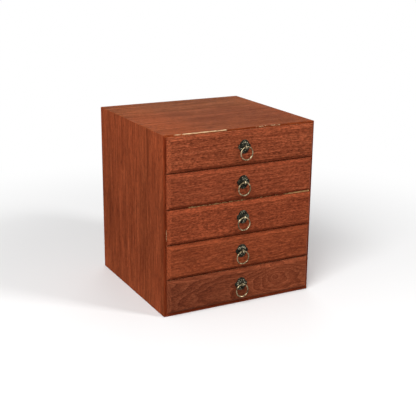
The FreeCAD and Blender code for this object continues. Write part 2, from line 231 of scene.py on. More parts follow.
# The next two are laid out by the object's X, Y and Z.
CLOUD_CELLS = (14, 14, 14)
CHIP_CELLS = (300, 260, 900)

NOISE_ROUGHNESS = 0.6
RING_PERIOD = 0.314159
RING_WAVER, RING_WAVER_CELLS = 1.6, 0.3
PORE_FROM, PORE_TO, PORE_DEPTH = 0.54, 0.64, 0.60
STREAK_SPAN = 0.38
DARK_AT, MIDDLE_AT, LIGHT_AT = 0.05, 0.5, 0.95
FIBRE_DEPTH, CLOUD_DEPTH = 0.3, 0.07
SHADED_FROM, SHADED_TO = 0.3, 0.7


def ramp(tree, value, stops):
    """A colour for each value, with the stops given as (value, colour)."""
    node = add_node(tree, "ShaderNodeValToRGB", {0: value})
    elements = node.color_ramp.elements
    elements.remove(elements[1])
    elements[0].position, elements[0].color = stops[0]
    for position, colour in stops[1:]:
        elements.new(position).color = colour
    return node.outputs[0]


def grey(value):
    """A shade with no tint, to lighten or darken a colour with."""
    return (value, value, value, 1)


def compute_vector(tree, operation, first, second):
    """One sum with vectors."""
    return add_node(tree, "ShaderNodeVectorMath", {0: first, 1: second}, operation=operation).outputs[0]


def stretched_noise(tree, vector, cells, detail, shift=0.0):
    """The outputs of a noise with so many cells to the metre along each axis."""
    spot = add_node(tree, "ShaderNodeMapping", {"Vector": vector, "Scale": cells, "Location": (shift,) * 3})
    noise = add_node(
        tree, "ShaderNodeTexNoise",
        {"Vector": spot.outputs[0], "Scale": 1, "Detail": detail, "Roughness": NOISE_ROUGHNESS},
    )
    return noise.outputs


class Grain:
    """The pattern of a sawn board: rings round the tree's heart, streaks, fibres and pores along it.

    The heart is a point on the middle line of the tree, which leans by the tilt against the board. The
    rings lie ring_gap apart and wander; fleck, band, coarse and contrast say how strong or large the
    flecks, bands and streaks are.
    """

    def __init__(
        self, tree, along, heart, tilt, ring_gap, wander, seed,
        fleck=0.12, band=0.06, coarse=1.0, contrast=1.0, swirl=None,
    ):
        self.fleck = fleck
        self.band = band
        self.contrast = contrast
        self.spot = add_node(tree, "ShaderNodeTexCoord").outputs["Object"]
        turn = TURNS[along]
        shift = -(Euler(turn).to_matrix() @ Vector(heart))
        seated = add_node(
            tree, "ShaderNodeMapping", {"Vector": self.spot, "Rotation": turn, "Location": shift}
        )
        leaning = add_node(
            tree, "ShaderNodeMapping", {"Vector": seated.outputs[0], "Rotation": (0, *tilt)}
        ).outputs[0]
        drift = stretched_noise(tree, leaning, DRIFT_CELLS, 3, seed)["Color"]
        centred = compute_vector(tree, "SUBTRACT", drift, (0.5, 0.5, 0.5))
        sized = compute_vector(tree, "MULTIPLY", centred, (0, wander, wander))
        waved = compute_vector(tree, "ADD", leaning, sized)
        if swirl:
            waved = self.swirled(tree, waved, *swirl)
        self.rings = add_node(
            tree, "ShaderNodeTexWave",
            {
                "Vector": waved, "Scale": RING_PERIOD / ring_gap,
                "Distortion": RING_WAVER, "Detail": 3, "Detail Scale": RING_WAVER_CELLS,
            },
            wave_type="RINGS", rings_direction="X", wave_profile="SAW",
        ).outputs["Fac"]
        across = STREAKS_ACROSS / coarse
        self.streaks = stretched_noise(tree, waved, (STREAKS_ALONG, across, across), 3, seed)["Fac"]
        self.bands = stretched_noise(tree, waved, BAND_CELLS, 2, seed)["Fac"]
        self.fibres = stretched_noise(tree, waved, FIBRE_CELLS, 4, seed)["Fac"]
        self.flecks = stretched_noise(tree, waved, FLECK_CELLS, 2, seed)["Fac"]
        dashes = stretched_noise(tree, waved, PORE_CELLS, 1, seed)["Fac"]
        self.pores = rise_between(tree, dashes, PORE_FROM, PORE_TO)
        self.clouds = stretched_noise(tree, self.spot, CLOUD_CELLS, 3, seed)["Fac"]

    def swirled(self, tree, vector, centre, wide, high, depth):
        """The tree's rings bulge round one spot, as they do beside a buried knot."""
        place = add_node(tree, "ShaderNodeMapping", {
            "Vector": self.spot,
            "Scale": (1 / wide, 0, 1 / high),
            "Location": (-centre.x / wide, 0, -centre.z / high),
        })
        bulge = add_node(
            tree, "ShaderNodeTexGradient", {"Vector": place.outputs[0]}, gradient_type="QUADRATIC_SPHERE"
        )
        deep = compute(tree, "MULTIPLY", bulge.outputs["Fac"], depth)
        shift = add_node(tree, "ShaderNodeCombineXYZ", {"Y": deep})
        return compute_vector(tree, "ADD", vector, shift.outputs[0])


def part_of(tree, grain, axis):
    """The X, Y or Z of each point of the board."""
    return add_node(tree, "ShaderNodeSeparateXYZ", {0: grain.spot}).outputs[axis]


def wood_colour(tree, grain, dark, middle, light, pore, ring_share):
    """The colour of the board from its grain, and the grain's light and dark as one number."""
    late = compute(tree, "SUBTRACT", 1, grain.rings)
    half = STREAK_SPAN / grain.contrast
    spread = add_node(
        tree, "ShaderNodeMapRange", {"Value": grain.streaks, "From Min": 0.5 - half, "From Max": 0.5 + half}
    ).outputs[0]
    tone = add_node(tree, "ShaderNodeMix", {0: ring_share, 2: spread, 3: late}).outputs[0]
    colour = ramp(tree, tone, [(DARK_AT, dark), (MIDDLE_AT, middle), (LIGHT_AT, light)])
    shadings = (
        (grain.fibres, FIBRE_DEPTH), (grain.flecks, grain.fleck),
        (grain.clouds, CLOUD_DEPTH), (grain.bands, grain.band),
    )
    for pattern, depth in shadings:
        shading = ramp(tree, pattern, [(SHADED_FROM, grey(1 - depth)), (SHADED_TO, grey(1 + depth))])
        colour = mix_colours(tree, 1.0, colour, shading, "MULTIPLY")
    in_pores = compute(tree, "MULTIPLY", grain.pores, PORE_DEPTH)
    return mix_colours(tree, in_pores, colour, pore), tone


def stain_colour(tree, grain, shade, ring_share=STAIN_RING_SHARE):
    """Stained wood; the shade makes one board a little redder, paler or darker than another."""
    dark, middle, light = (
        (*(part * factor for part, factor in zip(colour, shade)), 1)
        for colour in (STAIN_DARK, STAIN_MIDDLE, STAIN_LIGHT)
    )
    return wood_colour(tree, grain, dark, middle, light, STAIN_PORE, ring_share)


def bare_colour(tree, grain):
    """The same wood with no stain."""
    middle = tuple((a + b) / 2 for a, b in zip(BARE_DARK, BARE_LIGHT))
    return wood_colour(tree, grain, BARE_DARK, middle, BARE_LIGHT, BARE_DARK, BARE_RING_SHARE)


def add_relief(tree, height, strength, depth):
    """A slight relief that follows a pattern; depth in metres."""
    return add_node(
        tree, "ShaderNodeBump", {"Strength": strength, "Distance": depth, "Height": height}
    ).outputs[0]


def add_surface(tree, colour, roughness, relief, constants):
    """The shader of a material, joined to its output; constants holds what is the same all over."""
    inputs = {"Base Color": colour, "Roughness": roughness, "Normal": relief, **constants}
    surface = add_node(tree, "ShaderNodeBsdfPrincipled", inputs)
    add_node(tree, "ShaderNodeOutputMaterial", {"Surface": surface.outputs[0]})


DARK_DULLER, LIGHT_SHINIER = 0.08, 0.06
GRAIN_RELIEF, GRAIN_DEPTH = 0.4, 0.00012


def new_wood(name, colour_of, roughness, sheen, **cut):
    """A wood material; colour_of makes the colour and the tone from the tree of nodes and the grain."""
    wood = bpy.data.materials.new(name)
    tree = empty_tree(wood)
    grain = Grain(tree, **cut)
    colour, tone = colour_of(tree, grain)
    height = compute(tree, "SUBTRACT", compute(tree, "ADD", tone, grain.fibres), grain.pores)
    relief = add_relief(tree, height, GRAIN_RELIEF, GRAIN_DEPTH)
    dull = between(tree, tone, roughness + DARK_DULLER, roughness - LIGHT_SHINIER)
    add_surface(tree, colour, dull, relief, {"Specular IOR Level": sheen})
    return wood


INSIDE_SKIN = 0.0002
STAINED_INWARD, STAIN_RAGGED = 0.002, 0.012


def inside_case(tree, grain):
    """1 on the faces that look into the case, which the stain reaches only near the front."""
    low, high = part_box("left_side")
    board = high.x - low.x
    aside = compute(tree, "ABSOLUTE", part_of(tree, grain, "X"))
    within_sides = compute(tree, "LESS_THAN", aside, -high.x + INSIDE_SKIN)
    above = compute(tree, "SUBTRACT", part_of(tree, grain, "Z"), box_middle.z)
    over = compute(tree, "ABSOLUTE", above)
    within_height = compute(tree, "LESS_THAN", over, high.z / 2 - board + INSIDE_SKIN)
    ragged = compute(tree, "MULTIPLY", grain.streaks, STAIN_RAGGED)
    depth = compute(tree, "SUBTRACT", part_of(tree, grain, "Y"), ragged)
    behind = compute(tree, "GREATER_THAN", depth, low.y + STAINED_INWARD)
    return compute(tree, "MULTIPLY", compute(tree, "MULTIPLY", within_sides, within_height), behind)


def strip_share(tree, along, start, end, soft):
    """1 from start to end and 0 outside, with soft ends."""
    rise = rise_between(tree, along, start, start + soft)
    fall = rise_between(tree, along, end - soft, end)
    return compute(tree, "SUBTRACT", rise, fall)


CHIPPED_FROM, CHIPPED_TO = -0.02, 0.30


def rubbed_places(tree, grain, places, axis="X"):
    """Where the stain is missing along an edge: each place is from, to, its soft ends and how bare it is."""
    along = part_of(tree, grain, axis)
    total = 0.0
    for start, end, soft, bareness in places:
        here = compute(tree, "MULTIPLY", strip_share(tree, along, start, end, soft), bareness)
        total = compute(tree, "MAXIMUM", here, total)
    chips = stretched_noise(tree, grain.spot, CHIP_CELLS, 3)["Fac"]
    torn = compute(tree, "SUBTRACT", total, chips)
    return rise_between(tree, torn, CHIPPED_FROM, CHIPPED_TO)


STRIP_WANDER = 0.04


def uneven_stain_and_painted_light(tree, grain, colour, strips):
    """Strips of uneven stain and of painted light and shade: axis, from, to, how soft its ends are, its
    shade.
    """
    drift = compute(tree, "MULTIPLY", compute(tree, "SUBTRACT", grain.clouds, 0.5), STRIP_WANDER)
    for axis, start, end, soft, shade in strips:
        along = compute(tree, "ADD", part_of(tree, grain, axis), drift)
        share = strip_share(tree, along, start, end, soft)
        colour = mix_colours(tree, share, colour, (*shade, 1), "MULTIPLY")
    return colour


FRONT_SKIN = 0.0006
# How much darker the front edges of the case are made.
FRONT_EDGE_DARKER = (0.84, 0.66, 0.58, 1)


def front_edge(tree, grain, front):
    """1 on the front edge of a board."""
    return compute(tree, "LESS_THAN", part_of(tree, grain, "Y"), front + FRONT_SKIN)


def case_colour(shade, strips=(), rubbed=None):
    """Stained wood, darker on its front edge, bare inside the case and where the stain is rubbed off."""
    def colour_of(tree, grain):
        colour, tone = stain_colour(tree, grain, shade)
        # The front edges are made darker.
        colour = mix_colours(tree, front_edge(tree, grain, case_low.y), colour, FRONT_EDGE_DARKER, "MULTIPLY")
        # Strips of uneven stain and of painted light, shade and sheen.
        colour = uneven_stain_and_painted_light(tree, grain, colour, strips)
        raw = bare_colour(tree, grain)[0]
        colour = mix_colours(tree, inside_case(tree, grain), colour, raw)
        if rubbed:
            colour = mix_colours(tree, rubbed(tree, grain), colour, BARE_LIGHT)
        return colour, tone
    return colour_of


TOP_EDGE_BARE = [
    (-0.108, -0.082, 0.010, 0.60),
    (-0.097, -0.014, 0.012, 0.72),
    (0.012, 0.068, 0.012, 0.56),
]
TOP_BARE_HEIGHT = 0.0012
LEFT_EDGE_BARE = [(0.104, 0.128, 0.006, 0.72)]
LEFT_BARE_INWARD = 0.0036


def top_edge_rubbed(tree, grain):
    """The upper part of the top's front edge, where it is rubbed through to bare wood."""
    low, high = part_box("top_panel")
    edge = front_edge(tree, grain, low.y)
    upper = compute(tree, "GREATER_THAN", part_of(tree, grain, "Z"), high.z - TOP_BARE_HEIGHT)
    places = rubbed_places(tree, grain, TOP_EDGE_BARE)
    return compute(tree, "MULTIPLY", compute(tree, "MULTIPLY", edge, upper), places)


def left_edge_rubbed(tree, grain):
    """The inner part of the left side's front edge, where it is rubbed beside the third drawer."""
    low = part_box("left_side")[0]
    edge = front_edge(tree, grain, low.y)
    span = rubbed_places(tree, grain, LEFT_EDGE_BARE, "Z")
    inner = compute(tree, "GREATER_THAN", part_of(tree, grain, "X"), low.x + LEFT_BARE_INWARD)
    return compute(tree, "MULTIPLY", compute(tree, "MULTIPLY", edge, span), inner)


MERGE_WITHIN = 0.000004
FLAT_WITHIN = math.radians(0.5)
SHARP_FROM = math.radians(30)
EDGE_ROUND = 0.0007
ROUND_TURNS = (22.5, 45, 67.5)
CUT_WITHIN = 0.000001


def take_copy(node, name):
    """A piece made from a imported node's mesh, with its triangles joined into whole faces."""
    bpy.ops.object.select_all(action="DESELECT")
    piece = bpy.data.objects.new(name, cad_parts[node].data.copy())
    piece.data.name = name
    scene.collection.objects.link(piece)
    bpy.context.view_layer.objects.active = piece
    piece.select_set(True)
    if piece.data.has_custom_normals:
        bpy.ops.mesh.customdata_custom_splitnormals_clear()
    bpy.ops.object.mode_set(mode="EDIT")
    bpy.ops.mesh.select_all(action="SELECT")
    bpy.ops.mesh.remove_doubles(threshold=MERGE_WITHIN)
    bpy.ops.mesh.dissolve_limited(angle_limit=FLAT_WITHIN)
    bpy.ops.mesh.faces_shade_flat()
    bpy.ops.object.mode_set(mode="OBJECT")
    return piece


def ease_edges(piece, width):
    """Take the sharpness off every edge of the piece that is in hand."""
    bevel = piece.modifiers.new("eased", "BEVEL")
    bevel.width = width
    bevel.segments = 2
    bevel.limit_method = "ANGLE"
    bevel.angle_limit = SHARP_FROM
    bpy.ops.object.modifier_apply(modifier=bevel.name)


def round_case_edges(low, high, radius):
    """Sand the case's twelve outer edges round, as far as the board that is in hand reaches."""
    bpy.ops.object.mode_set(mode="EDIT")
    for first, second in ((0, 1), (0, 2), (1, 2)):
        for near, far in ((low, low), (low, high), (high, low), (high, high)):
            for turn in ROUND_TURNS:
                normal = Vector((0, 0, 0))
                normal[first] = math.cos(math.radians(turn)) * (1 if near is high else -1)
                normal[second] = math.sin(math.radians(turn)) * (1 if far is high else -1)
                centre = Vector((0, 0, 0))
                centre[first] = near[first] + radius * (-1 if near is high else 1)
                centre[second] = far[second] + radius * (-1 if far is high else 1)
                bpy.ops.mesh.select_all(action="SELECT")
                bpy.ops.mesh.bisect(
                    plane_co=centre + normal * radius, plane_no=normal,
                    use_fill=True, clear_outer=True, threshold=CUT_WITHIN,
                )
    bpy.ops.object.mode_set(mode="OBJECT")


def finish_piece(piece, node, body, material):
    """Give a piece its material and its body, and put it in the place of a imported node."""
    piece.data.materials.clear()
    piece.data.materials.append(material)
    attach(piece, body)
    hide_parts(node)


CASE_ROUGHNESS, CASE_SHEEN = 0.5, 0.001
LEFT_SHADE = (0.97, 0.92, 0.84)
TOP_SHADE = (0.88, 0.97, 0.77)
PLAIN_SHADE = (0.85, 0.82, 0.80)
# Left side: the darker strips towards the front are painted shade, and the darker one near the back is
# uneven stain.
# Up the side, painted light and shade: a painted sheen at the bottom, darker above it and lighter at the
# top.
LEFT_STAIN_AND_PAINTED_LIGHT = [
    ("Y", 0.045, 0.094, 0.012, (0.94, 0.94, 0.94)),
    ("Y", -0.070, -0.022, 0.012, (0.88, 0.90, 0.90)),
    ("Y", -0.130, -0.096, 0.010, (0.82, 0.84, 0.82)),
    ("Z", -0.200, 0.045, 0.035, (1.08, 1.12, 1.14)),
    ("Z", 0.025, 0.175, 0.060, (0.92, 0.92, 0.92)),
    ("Z", 0.170, 0.400, 0.060, (1.07, 1.06, 1.05)),
]
# The top is lighter towards both ends, and a painted sheen lightens it towards the back.
TOP_LIGHTER_ENDS_AND_PAINTED_SHEEN = [
    ("X", -0.150, -0.030, 0.060, (1.24, 1.14, 1.04)),
    ("X", 0.080, 0.150, 0.030, (1.16, 1.10, 1.04)),
    ("Y", 0.000, 0.150, 0.060, (1.03, 1.16, 1.14)),
]
CASE_WOOD = {
    "left_side": dict(
        colour_of=case_colour(LEFT_SHADE, LEFT_STAIN_AND_PAINTED_LIGHT, left_edge_rubbed), along="z",
        heart=(0.02, 0.03, 0), tilt=(0.03, 0), ring_gap=0.0042, wander=0.012, seed=3.1,
        band=0.16, coarse=1.35, contrast=1.5,
    ),
    "right_side": dict(
        colour_of=case_colour(PLAIN_SHADE), along="z",
        heart=(-0.02, -0.05, 0), tilt=(-0.02, 0), ring_gap=0.0038, wander=0.012, seed=8.4,
        band=0.16, coarse=1.35, contrast=1.5,
    ),
    "top_panel": dict(
        colour_of=case_colour(TOP_SHADE, TOP_LIGHTER_ENDS_AND_PAINTED_SHEEN, top_edge_rubbed), along="x",
        heart=(0, 0.04, 0.11), tilt=(0.02, 0), ring_gap=0.0045, wander=0.014, seed=5.7,
        fleck=0.22, band=0.14, coarse=1.8, contrast=1.3,
    ),
    "bottom_panel": dict(
        colour_of=case_colour(PLAIN_SHADE), along="x",
        heart=(0, -0.03, 0.09), tilt=(0.02, 0), ring_gap=0.0042, wander=0.012, seed=1.9,
    ),
}
for node, wood in CASE_WOOD.items():
    board = take_copy(node, node + "_board")
    round_case_edges(case_low, case_high, EDGE_ROUND)
    stain = new_wood("stained_" + node, roughness=CASE_ROUGHNESS, sheen=CASE_SHEEN, **wood)
    finish_piece(board, node, "case", stain)


# Back panel: one 4 mm board let into rebates behind the case, flush with its edges and held by square
# headless nails. It is stained outside like the case and bare inside.

BACK_SHADE = (0.95, 0.95, 0.95)
BACK_EASED = 0.0004
BACK_ROUGHNESS = 0.52
BARE_SKIN = 0.0003
back_panel_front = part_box("back_panel")[0].y


def back_colour(tree, grain):
    """Stained, with its inner face left bare."""
    colour, tone = stain_colour(tree, grain, BACK_SHADE)
    raw = bare_colour(tree, grain)[0]
    within = compute(tree, "LESS_THAN", part_of(tree, grain, "Y"), back_panel_front + BARE_SKIN)
    return mix_colours(tree, within, colour, raw), tone


panel = take_copy("back_panel", "back_panel_board")
ease_edges(panel, BACK_EASED)
stain = new_wood(
    "stained_back_panel", back_colour, BACK_ROUGHNESS, CASE_SHEEN,
    along="z", heart=(0.03, 0.04, 0), tilt=(0, 0.02), ring_gap=0.004, wander=0.014, seed=6.6,
)
finish_piece(panel, "back_panel", "case", stain)

NAIL_GREY = (0.27, 0.27, 0.28, 1)
NAIL_RUST = (0.15, 0.10, 0.07, 1)
GREY_TO, RUST_FROM = 0.42, 0.6
SPECK_CELLS = (900, 900, 900)
NAIL_METALLIC, NAIL_ROUGHNESS, RUST_ROUGHNESS = 0.9, 0.3, 0.7
RUST_RELIEF, RUST_DEPTH = 0.3, 0.00004


def new_nail_steel():
    """Bare steel wire, dulled and specked with rust."""
    steel = bpy.data.materials.new("dull_nail_steel")
    tree = empty_tree(steel)
    spot = add_node(tree, "ShaderNodeTexCoord").outputs["Object"]
    specks = stretched_noise(tree, spot, SPECK_CELLS, 3)["Fac"]
    colour = ramp(tree, specks, [(GREY_TO, NAIL_GREY), (RUST_FROM, NAIL_RUST)])
    dull = between(tree, specks, NAIL_ROUGHNESS, RUST_ROUGHNESS)
    relief = add_relief(tree, specks, RUST_RELIEF, RUST_DEPTH)
    add_surface(tree, colour, dull, relief, {"Metallic": NAIL_METALLIC})
    return steel


def set_finish(node, material):
    """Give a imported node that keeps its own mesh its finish."""
    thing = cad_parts[node]
    thing.data.materials.clear()
    thing.data.materials.append(material)


nail_steel = new_nail_steel()
set_finish("back_nails", nail_steel)


# Shelves: four thin boards of plain pale wood let into the sides. Their front edges took the stain with
# the case, except the second one, where much of it is missing, so it shows as a broken pale line.

SHELVES = (1, 2, 3, 4)
SHELF_EASED = 0.0003
SHELF_ROUGHNESS, BARE_SHEEN = 0.6, 0.05
SHELF_STAIN_SHADE = (0.7, 0.7, 0.7)
PLANED_EDGE = (0.98, 0.68, 0.30, 1)
SHELF_BARE = {
    2: [
        (-0.096, 0.022, 0.020, 0.57),
        (0.000, 0.075, 0.020, 0.49),
        (0.030, 0.200, 0.075, 0.95),
    ],
}


def shelf_colour(front, places):
    """Bare, with a planed front edge that is stained, except in the places where it is missing."""
    def colour_of(tree, grain):
        colour, tone = bare_colour(tree, grain)
        share = front_edge(tree, grain, front)
        colour = mix_colours(tree, share, colour, PLANED_EDGE)
        stained = stain_colour(tree, grain, SHELF_STAIN_SHADE)[0]
        if places:
            bare = rubbed_places(tree, grain, places)
            share = compute(tree, "MULTIPLY", share, compute(tree, "SUBTRACT", 1, bare))
        return mix_colours(tree, share, colour, stained), tone
    return colour_of


for row in SHELVES:
    node = f"shelf_{row}"
    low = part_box(node)[0]
    shelf = take_copy(node, f"shelf_{row}_board")
    ease_edges(shelf, SHELF_EASED)
    pale_wood = new_wood(
        f"pale_shelf_{row}", shelf_colour(low.y, SHELF_BARE.get(row)), SHELF_ROUGHNESS, BARE_SHEEN,
        along="x", heart=(0, 0.03 * row - 0.08, low.z - 0.06), tilt=(0.02, 0), ring_gap=0.003,
        wander=0.01, seed=row * 2.7,
    )
    finish_piece(shelf, node, "case", pale_wood)


# Drawer faces: five boards with a broad bevel all round, glued over the front of each drawer's box.
# They are cut from different planks, so their grain and depth of colour differ; the lowest is figured.

DRAWERS = (1, 2, 3, 4, 5)
FACE_EASED = 0.00035
FACE_ROUGHNESS, FACE_SHEEN = 0.48, 0.006
FACE_WOOD = {
    1: dict(
        heart=(0.00, 0.14, 0.060), tilt=(0.010, 0.010), ring_gap=0.0026, wander=0.010,
        fleck=0.54, contrast=1.5,
    ),
    2: dict(heart=(0.03, 0.11, -0.050), tilt=(0.000, 0.015), ring_gap=0.0028, wander=0.012, fleck=0.44),
    3: dict(heart=(-0.03, 0.16, 0.040), tilt=(0.015, 0.020), ring_gap=0.0030, wander=0.012, fleck=0.50),
    4: dict(heart=(-0.02, 0.12, -0.070), tilt=(0.010, 0.012), ring_gap=0.0026, wander=0.010, fleck=0.34),
    5: dict(heart=(0.05, 0.060, -0.010), tilt=(0.000, 0.060), ring_gap=0.0029, wander=0.022, fleck=0.24),
}
FACE_SHADES = {
    1: (0.88, 0.91, 0.92),
    2: (0.88, 0.87, 0.88),
    3: (0.87, 0.83, 0.81),
    4: (0.84, 0.82, 0.77),
    5: (0.77, 0.83, 0.86),
}
FACE_STRIPS = {5: [("X", -0.400, 0.075, 0.170, (0.74, 0.76, 0.80))]}
# The ends of each face are made darker.
FACE_END_DARKER, END_SKIN = (0.80, 0.64, 0.58, 1), 0.0002
# The bevels are lightened all round by a painted highlight and sheen.
PAINTED_BEVEL_HIGHLIGHT, BEVEL_WIDTH, BEVEL_BLUR = (1.16, 1.17, 1.16, 1), 0.0045, 0.0004
FIGURED_ROW, FIGURED_RING_SHARE = 5, 0.50
FIGURE_ASIDE, FIGURE_UP = 0.056, 0.004
FIGURE_WIDE, FIGURE_HIGH, FIGURE_DEPTH = 0.062, 0.040, 0.013


def face_colour(low, high, row):
    """Stained, lighter on the bevels by a painted highlight, darker on its ends, and bare behind."""
    def colour_of(tree, grain):
        ring_share = FIGURED_RING_SHARE if row == FIGURED_ROW else STAIN_RING_SHARE
        colour, tone = stain_colour(tree, grain, FACE_SHADES[row], ring_share)
        colour = uneven_stain_and_painted_light(tree, grain, colour, FACE_STRIPS.get(row, ()))
        aside = compute(tree, "ABSOLUTE", part_of(tree, grain, "X"))
        above = compute(tree, "SUBTRACT", part_of(tree, grain, "Z"), (low.z + high.z) / 2)
        over = compute(tree, "ABSOLUTE", above)
        past_side = compute(tree, "SUBTRACT", aside, high.x - BEVEL_WIDTH)
        past_top = compute(tree, "SUBTRACT", over, (high.z - low.z) / 2 - BEVEL_WIDTH)
        past = compute(tree, "MAXIMUM", past_side, past_top)
        # Painted highlight on the bevels.
        on_bevel = rise_between(tree, past, -BEVEL_BLUR, BEVEL_BLUR)
        colour = mix_colours(tree, on_bevel, colour, PAINTED_BEVEL_HIGHLIGHT, "MULTIPLY")
        # The ends are made darker.
        on_end = compute(tree, "GREATER_THAN", aside, high.x - END_SKIN)
        colour = mix_colours(tree, on_end, colour, FACE_END_DARKER, "MULTIPLY")
        raw = bare_colour(tree, grain)[0]
        behind = compute(tree, "GREATER_THAN", part_of(tree, grain, "Y"), high.y - BARE_SKIN)
        return mix_colours(tree, behind, colour, raw), tone
    return colour_of


for row in DRAWERS:
    node = f"drawer_{row}_face"
    low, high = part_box(node)
    half_way = (low.z + high.z) / 2
    wood = dict(FACE_WOOD[row])
    aside_of, behind_of, above_of = wood.pop("heart")
    wood["heart"] = (aside_of, low.y + behind_of, half_way + above_of)
    if row == FIGURED_ROW:
        figure = Vector((FIGURE_ASIDE, 0, half_way + FIGURE_UP))
        wood["swirl"] = (figure, FIGURE_WIDE, FIGURE_HIGH, FIGURE_DEPTH)
    face = take_copy(node, f"drawer_{row}_face_board")
    ease_edges(face, FACE_EASED)
    stain = new_wood(
        f"stained_drawer_{row}_face", face_colour(low, high, row), FACE_ROUGHNESS, FACE_SHEEN,
        along="x", seed=row * 3.3, **wood,
    )
    finish_piece(face, node, f"drawer_{row}", stain)


# Drawer boxes: a front, two sides and a back of 5 mm pale wood, nailed at the corners, with a 3 mm base
# let into grooves all round. They are left bare.

BOX_BOARDS = {"front": "x", "back": "x", "left": "y", "right": "y", "base": "x"}
BOX_EASED = 0.0003
BOX_ROUGHNESS = 0.62

for row in DRAWERS:
    for number, (board, along) in enumerate(BOX_BOARDS.items()):
        node = f"drawer_{row}_{board}"
        low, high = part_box(node)
        plank = take_copy(node, f"drawer_{row}_{board}_board")
        ease_edges(plank, BOX_EASED)
        centre = (low + high) / 2
        pale_wood = new_wood(
            f"pale_drawer_{row}_{board}", bare_colour, BOX_ROUGHNESS, BARE_SHEEN,
            along=along, heart=(centre.x + 0.03, centre.y - 0.05, centre.z + 0.07), tilt=(0.02, 0.015),
            ring_gap=0.0026, wander=0.01, seed=row * 5.1 + number,
        )
        finish_piece(plank, node, f"drawer_{row}", pale_wood)
    set_finish(f"drawer_{row}_nails", nail_steel)


# Pull plates: small cast brass plates of four lobes, with a rosette of petals round a boss, blackened in
# the hollows and rubbed on the rim and the petals. The split pin holds each one to its face.

RIM_WIDTH, FIELD_DEPTH = 0.00065, 0.00030
PETALS, PETAL_RING, PETAL_SIZE = 14, 0.00575, (0.00140, 0.00042, 0.00084)
PEARLS, PEARL_RING, PEARL_SIZE = 20, 0.00392, (0.00030, 0.00030, 0.00030)
DOT_RING, DOT_SIZE = 0.00850, (0.00042, 0.00032, 0.00042)
DOT_ANGLES = (-17, 0, 17, 70, 90, 110, 163, 180, 197, 250, 270, 290)
BEAD_SIDES, BEAD_RINGS = 12, 6
BOSS_RADIUS, BOSS_HEIGHT = 0.0036, 0.0007
BRASS_EASED = 0.00012
FRONT_WITHIN, FRONT_FACING = 0.00005, -0.99
SMOOTH_BELOW = math.radians(35)
RIM_WEAR, BOSS_WEAR, RELIEF_WEAR = 0.44, 0.10, 0.47
ABOVE_RIM = 1.02

HOLLOW_TO, PATINA_FROM = 0.38, 0.62
WORN_FROM, WORN_TO = 0.35, 0.8
FINE_PER_BLOTCH = 5
BRASS_METALLIC, PATINA_DULLER = 0.92, 0.22
BRASS_RELIEF, BRASS_DEPTH = 0.35, 0.00006


def new_brass(name, hollow, patina, metal, wear_by, blotch_cells, roughness, patchy=0.0):
    """Old brass, dark in the hollows, with its patina over the metal.

    wear_by gives how much the surface is rubbed, and patchy how unevenly, from place to place.
    """
    brass = bpy.data.materials.new(name)
    tree = empty_tree(brass)
    spot = add_node(tree, "ShaderNodeTexCoord").outputs["Object"]
    blotches = stretched_noise(tree, spot, (blotch_cells,) * 3, 4)["Fac"]
    fine = stretched_noise(tree, spot, (blotch_cells * FINE_PER_BLOTCH,) * 3, 2)["Fac"]
    colour = ramp(tree, blotches, [(HOLLOW_TO, hollow), (PATINA_FROM, patina)])
    worn = compute(tree, "ADD", wear_by(tree), compute(tree, "SUBTRACT", fine, 0.5))
    patches = compute(tree, "MULTIPLY", compute(tree, "SUBTRACT", blotches, 0.5), patchy)
    worn = rise_between(tree, compute(tree, "ADD", worn, patches), WORN_FROM, WORN_TO)
    colour = mix_colours(tree, worn, colour, metal)
    dull = between(tree, worn, roughness + PATINA_DULLER, roughness)
    relief = add_relief(tree, fine, BRASS_RELIEF, BRASS_DEPTH)
    add_surface(tree, colour, dull, relief, {"Metallic": BRASS_METALLIC})
    return brass


def wear_attribute(tree):
    """How much each point of the plate is rubbed, as make_plate stored it."""
    return add_node(tree, "ShaderNodeAttribute", attribute_name="wear").outputs["Fac"]


plate_brass = new_brass(
    "blackened_cast_brass",
    hollow=(0.006, 0.006, 0.004, 1), patina=(0.036, 0.035, 0.023, 1), metal=(0.46, 0.41, 0.28, 1),
    wear_by=wear_attribute, blotch_cells=330, roughness=0.36, patchy=2.6,
)


def add_bead(eye, around, ring, size):
    """A low bead, half sunk into the plate's field at an angle round the eye, and longest outwards."""
    angle = math.radians(around)
    place = eye + Vector((ring * math.cos(angle), 0, ring * math.sin(angle)))
    bpy.ops.object.select_all(action="DESELECT")
    bpy.ops.mesh.primitive_uv_sphere_add(
        segments=BEAD_SIDES, ring_count=BEAD_RINGS, radius=1,
        location=place, rotation=(0, -angle, 0), scale=size,
    )
    bpy.ops.object.transform_apply(location=True, rotation=True, scale=True)
    return bpy.context.object


